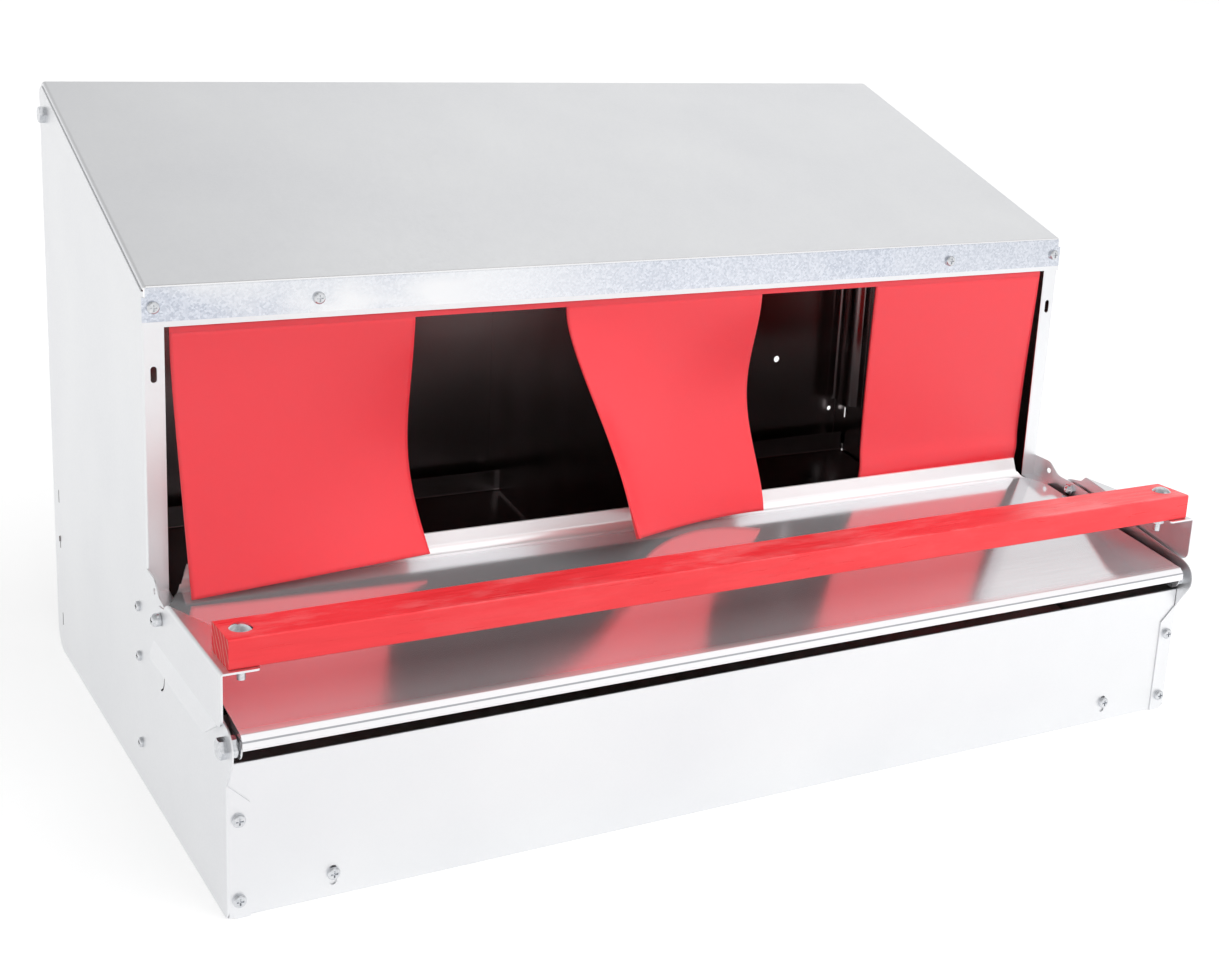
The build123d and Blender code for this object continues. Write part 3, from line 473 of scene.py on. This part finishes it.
def painted_pine():
    """Brushed red paint on pine: streaks along X in tone, gloss and height, a top paled by wear and painted
    sheen, scratched ends.
    """
    material, tree, shader, place = new_material("painted pine")
    spot = place.outputs["Object"]
    along = add(tree, "Mapping", [("Vector", spot), ("Scale", (0.08, 1.0, 1.0))])
    streak = add(tree, "TexNoise", [("Vector", along.outputs[0]), ("Scale", per_mm(4.0)), ("Detail", 5.0)])
    wash = add(tree, "Mapping", [("Vector", spot), ("Scale", (0.3, 1.0, 1.0))])
    mottle = [("Vector", wash.outputs[0]), ("Scale", per_mm(24.0)), ("Detail", 7.0), ("Roughness", 0.7)]
    wash = add(tree, "TexNoise", mottle)
    face = add(tree, "SeparateXYZ", [(0, place.outputs["Normal"])])
    # Top faces get paler streaks: partly wear, partly a painted sheen.
    top_wear_and_sheen = add(tree, "MapRange", [(0, face.outputs["Z"]), (1, 0.3), (2, 0.9), (3, 0.18), (4, 1.0)])
    pale = add(tree, "MapRange", [(0, wash.outputs["Fac"]), (1, 0.47), (2, 0.62), (3, 0.0), (4, 0.45)])
    pale = add(tree, "Math", [(0, pale.outputs[0]), (1, top_wear_and_sheen.outputs[0])], operation="MULTIPLY")
    tones = [(FACTOR, streak.outputs["Fac"]), (COLOUR_A, linear("#E92A31")), (COLOUR_B, linear("#F84047"))]
    colour = add(tree, "Mix", tones, data_type="RGBA").outputs[COLOUR_OUT]
    tones = [(FACTOR, pale.outputs[0]), (COLOUR_A, colour), (COLOUR_B, linear("#FB8284"))]
    colour = add(tree, "Mix", tones, data_type="RGBA").outputs[COLOUR_OUT]
    sawn = add(tree, "Mapping", [("Vector", spot), ("Rotation", (SAW_SLOPE, 0.0, 0.0))])
    marks = [("Vector", sawn.outputs[0]), ("Scale", per_mm(20.0)), ("Distortion", 6.0), ("Detail", 3.0)]
    marks = add(tree, "TexWave", marks, bands_direction="Y")
    scratch = add(tree, "MapRange", [(0, marks.outputs["Fac"]), (1, 0.82), (2, 0.98), (3, 0.0), (4, 0.6)])
    end = add(tree, "Math", [(0, face.outputs["X"])], operation="ABSOLUTE")
    end = add(tree, "Math", [(0, end.outputs[0]), (1, 0.9)], operation="GREATER_THAN")
    scratch = add(tree, "Math", [(0, scratch.outputs[0]), (1, end.outputs[0])], operation="MULTIPLY")
    tones = [(FACTOR, scratch.outputs[0]), (COLOUR_A, colour), (COLOUR_B, linear("#F3B9AE"))]
    colour = add(tree, "Mix", tones, data_type="RGBA").outputs[COLOUR_OUT]
    rough = add(tree, "MapRange", [(0, streak.outputs["Fac"]), (1, 0.3), (2, 0.7), (3, 0.26), (4, 0.44)])
    rough = add(tree, "Mix", [(0, end.outputs[0]), (2, rough.outputs[0]), (3, 0.85)])
    brush = add(tree, "Bump", [("Height", streak.outputs["Fac"]), ("Strength", 0.3), ("Distance", 0.001)])
    tree.links.new(brush.outputs[0], shader.inputs["Normal"])
    tree.links.new(colour, shader.inputs["Base Color"])
    tree.links.new(rough.outputs[0], shader.inputs["Roughness"])
    return material


bar_paint = painted_pine()
print("perch bar", [round(v, 4) for v in BAR_HIGH - BAR_LOW])

# %% [markdown]
# ## PVC sheet
#
# The curtain is cut from calendered PVC, the sheet that truck covers are made of. It is dyed
# through, with a satin skin and an embossed grain too fine to see at this distance, which is drawn
# three times as coarse here so that it breaks the reflections.


# %% Red PVC
def red_pvc():
    """Satin red PVC: even dye with a slight cloud, and a shallow embossed grain."""
    material, tree, shader, place = new_material("red PVC sheet")
    spot = place.outputs["Object"]
    cloud = add(tree, "TexNoise", [("Vector", spot), ("Scale", per_mm(60.0)), ("Detail", 3.0)])
    tones = [(FACTOR, cloud.outputs["Fac"]), (COLOUR_A, linear("#FF3E48")), (COLOUR_B, linear("#FF4852"))]
    colour = add(tree, "Mix", tones, data_type="RGBA")
    grain = add(tree, "TexNoise", [("Vector", spot), ("Scale", per_mm(1.5)), ("Detail", 2.0)])
    emboss = add(tree, "Bump", [("Height", grain.outputs["Fac"]), ("Strength", 0.05), ("Distance", 0.0004)])
    rough = add(tree, "MapRange", [(0, cloud.outputs["Fac"]), (1, 0.3), (2, 0.7), (3, 0.40), (4, 0.48)])
    shader.inputs["Specular IOR Level"].default_value = 0.6
    shader.inputs["Subsurface Weight"].default_value = 0.7
    shader.inputs["Subsurface Radius"].default_value = (1.0, 0.15, 0.15)
    shader.inputs["Subsurface Scale"].default_value = 0.004
    tree.links.new(emboss.outputs[0], shader.inputs["Normal"])
    tree.links.new(colour.outputs[COLOUR_OUT], shader.inputs["Base Color"])
    tree.links.new(rough.outputs[0], shader.inputs["Roughness"])
    return material


curtain_pvc = red_pvc()
print("curtain:", curtain_pvc.name)

# %% [markdown]
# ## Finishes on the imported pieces
#
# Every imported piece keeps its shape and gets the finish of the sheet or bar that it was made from.

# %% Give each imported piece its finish
finishes = {
    roof_sheet: ["roof_panel"],
    shell_sheet: ["left_side_panel", "right_side_panel", "back_and_bottom"],
    tray_sheet: ["front_panel", "left_perch_arm", "right_perch_arm"],
    lid_sheet: ["egg_lid"],
    floor_sheet: ["nest_floor"],
    inner_coat: ["centre_divider", "left_floor_bracket", "right_floor_bracket", "curtain_clamp"],
    bar_paint: ["perch_bar"],
    curtain_pvc: ["curtain_header", "left_flap", "centre_flap", "right_flap"],
}
finish_of = {node: finish for finish, names in finishes.items() for node in names}
for name, piece in nodes.items():
    piece.data.materials.clear()
    piece.data.materials.append(finish_of.get(name, plating))
print(len(finish_of), "pieces of sheet, bar and curtain;", len(nodes) - len(finish_of), "of fasteners")

# %% [markdown]
# ## Curtain flaps
#
# Three flaps hang from the header strip. A stiff plate would look wrong, because PVC bows as soon as
# it is pushed. Each flap is a surface of two parameters: u runs across and v down. The upper edge
# stays on the header, the lower edge is a curve as long as the sheet is wide, and a bow is added between
# them. The sheet gets its thickness by stepping along its normals, so that the flap is a closed piece.
# Cloth simulation would also do, but the bows were wanted just as they hang in the photograph.

# %% Surface of a hanging flap
FLAP_THICKNESS = 0.0015
FLAP_STEPS = 60
# Share of the length over which a flap turns from upright to its lean.
FLAP_BEND = 0.12
HEADER_LOW, HEADER_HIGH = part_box("curtain_header")
CURTAIN_Y = (HEADER_LOW.y + HEADER_HIGH.y) / 2


def lower_edge(width, corner, line, curl=((0.0, 1.0), (0.0, 1.0))):
    """Lower edge of a flap from its left to its right corner, with the width that was cut.

    At t widths from the right corner the edge has come forward by a * t + c * t^p and up by b * t + d * t^q:
    line is (a, b) and curl is (c, p) and (d, q). What is left of the width goes sideways: each step is
    sqrt(1 - forward step^2 - upward step^2), added up along the edge.
    """
    t = np.linspace(0, 1, FLAP_STEPS)
    forward, rise = [part * t + amount * t**power for part, (amount, power) in zip(line, curl)]
    moved = np.stack([-forward, rise])
    steps = np.diff(moved, axis=1) / np.diff(t) / width
    aside = np.cumsum(np.sqrt(1 - (steps**2).sum(axis=0)) * np.diff(t)) * width
    path = np.stack([-np.concatenate([[0], aside]), *moved], -1)
    return (np.array(corner) + path)[::-1]


def hanging_surface(left, right, foot, bow):
    """Points of a flap: it leaves the header upright, leans to its lower edge, and bows in depth.

    P(u, v) = top(u) + lean(v) * (foot(u) - top(u)) + bow(u, v) along Y. The height falls evenly with v.
    Sideways and in depth, lean(v) = v - b * (1 - exp(-v / b)), scaled to end at 1, so that the flap starts
    straight down.
    """
    u, v = np.meshgrid(np.linspace(0, 1, FLAP_STEPS), np.linspace(0, 1, FLAP_STEPS), indexing="ij")
    lean = v - FLAP_BEND * (1 - np.exp(-v / FLAP_BEND))
    lean = np.stack([lean / lean.max(), lean / lean.max(), v], -1)
    top = np.linspace((left, CURTAIN_Y, HEADER_LOW.z), (right, CURTAIN_Y, HEADER_LOW.z), FLAP_STEPS)
    points = top[:, None] + lean * (foot - top)[:, None]
    points[..., 1] += bow(u, v)
    return points


def thick_sheet(name, points, thickness):
    """Closed piece from a grid of points: the grid moved half the thickness along its normals both ways."""
    across, down = np.gradient(points, axis=(0, 1))
    normal = np.cross(across, down)
    normal /= np.linalg.norm(normal, axis=-1, keepdims=True)
    skins = [points + normal * thickness / 2, points - normal * thickness / 2]
    rows, columns = points.shape[:2]
    count = rows * columns
    index = np.arange(count).reshape(rows, columns)
    quads = np.stack([index[:-1, :-1], index[1:, :-1], index[1:, 1:], index[:-1, 1:]], -1).reshape(-1, 4)
    rim = np.concatenate([index[:, 0], index[-1, 1:], index[-2::-1, -1], index[0, -2:0:-1]])
    after = np.roll(rim, -1)
    edge = np.stack([after, rim, rim + count, after + count], -1)
    faces = np.concatenate([quads, quads[:, ::-1] + count, edge])
    mesh = bpy.data.meshes.new(name)
    mesh.from_pydata(np.concatenate([s.reshape(-1, 3) for s in skins]).tolist(), [], faces.tolist())
    mesh.polygons.foreach_set("use_smooth", np.arange(len(faces)) < 2 * len(quads))
    mesh.update()
    piece = bpy.data.objects.new(name, mesh)
    bpy.context.scene.collection.objects.link(piece)
    return piece


# %% Hang the three flaps
# The side panels' rounded noses reach so far before the tray's front face.
FRONT_REACH = 0.014
TRAY_FRONT = cad_box[0].y + FRONT_REACH


def at(x, setback, z):
    """Point in metres from millimetres, with the depth measured back from the tray's front face."""
    return (x / 1000, setback / 1000 + TRAY_FRONT, z / 1000)


flap_width = {"left_flap": 0.190, "centre_flap": 0.188, "right_flap": 0.190}
# Each lower edge: its right corner, and how it comes forward and rises on the way to the left corner.
flap_feet = {
    "left_flap": lower_edge(flap_width["left_flap"], at(-215, 168, 175), (0.003, -0.010)),
    "centre_flap": lower_edge(
        flap_width["centre_flap"],
        at(100.3, 171.1, 172.2),
        (-0.052, -0.0152),
        curl=((0.112, 2.0), (0.0290, 3.2)),
    ),
    "right_flap": lower_edge(flap_width["right_flap"], at(410, 202, 165), (0.006, 0.0)),
}


def centre_bow(u, v):
    """Bow of the centre flap: its right side is pushed back and its left side comes forward."""
    back = 0.024 * u**1.5 * np.sin(np.pi * v) ** 1.8
    return back - 0.009 * (1 - u) ** 1.5 * np.sin(np.pi * v**1.35) ** 1.5


# Bows in metres, backwards. The right flap is almost flat, with a faint crease near its foot.
flap_bows = {
    "left_flap": lambda u, v: 0.032 * u**2 * np.sin(np.pi * v**1.5),
    "centre_flap": centre_bow,
    "right_flap": lambda u, v: 0.002 * np.sin(np.pi * v) - 0.0016 * np.exp(-(((v - 0.86) / 0.05) ** 2)),
}
# The centre flap hangs a little to the right of the middle.
flap_shift = {"left_flap": 0.0, "centre_flap": 0.0048, "right_flap": 0.0}
flaps = {}
for node, foot in flap_feet.items():
    low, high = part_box(node)
    middle = (low.x + high.x) / 2 + flap_shift[node]
    half = flap_width[node] / 2
    points = hanging_surface(middle - half, middle + half, foot, flap_bows[node])
    flap = thick_sheet(node + "_sheet", points, FLAP_THICKNESS)
    flap.data.materials.append(curtain_pvc)
    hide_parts(node)
    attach(flap, node)
    flaps[node] = flap
    edges = np.linalg.norm(np.diff(points[[0, -1]], axis=1), axis=-1).sum(axis=1)
    print(node, "edges", [round(float(e), 4) for e in edges], "m long")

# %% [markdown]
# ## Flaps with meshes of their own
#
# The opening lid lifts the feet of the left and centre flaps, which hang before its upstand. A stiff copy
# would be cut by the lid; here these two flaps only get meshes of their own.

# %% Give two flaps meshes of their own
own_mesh(flaps["left_flap"])
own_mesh(flaps["centre_flap"])
print("flaps that give way:", flaps["left_flap"].name, flaps["centre_flap"].name)
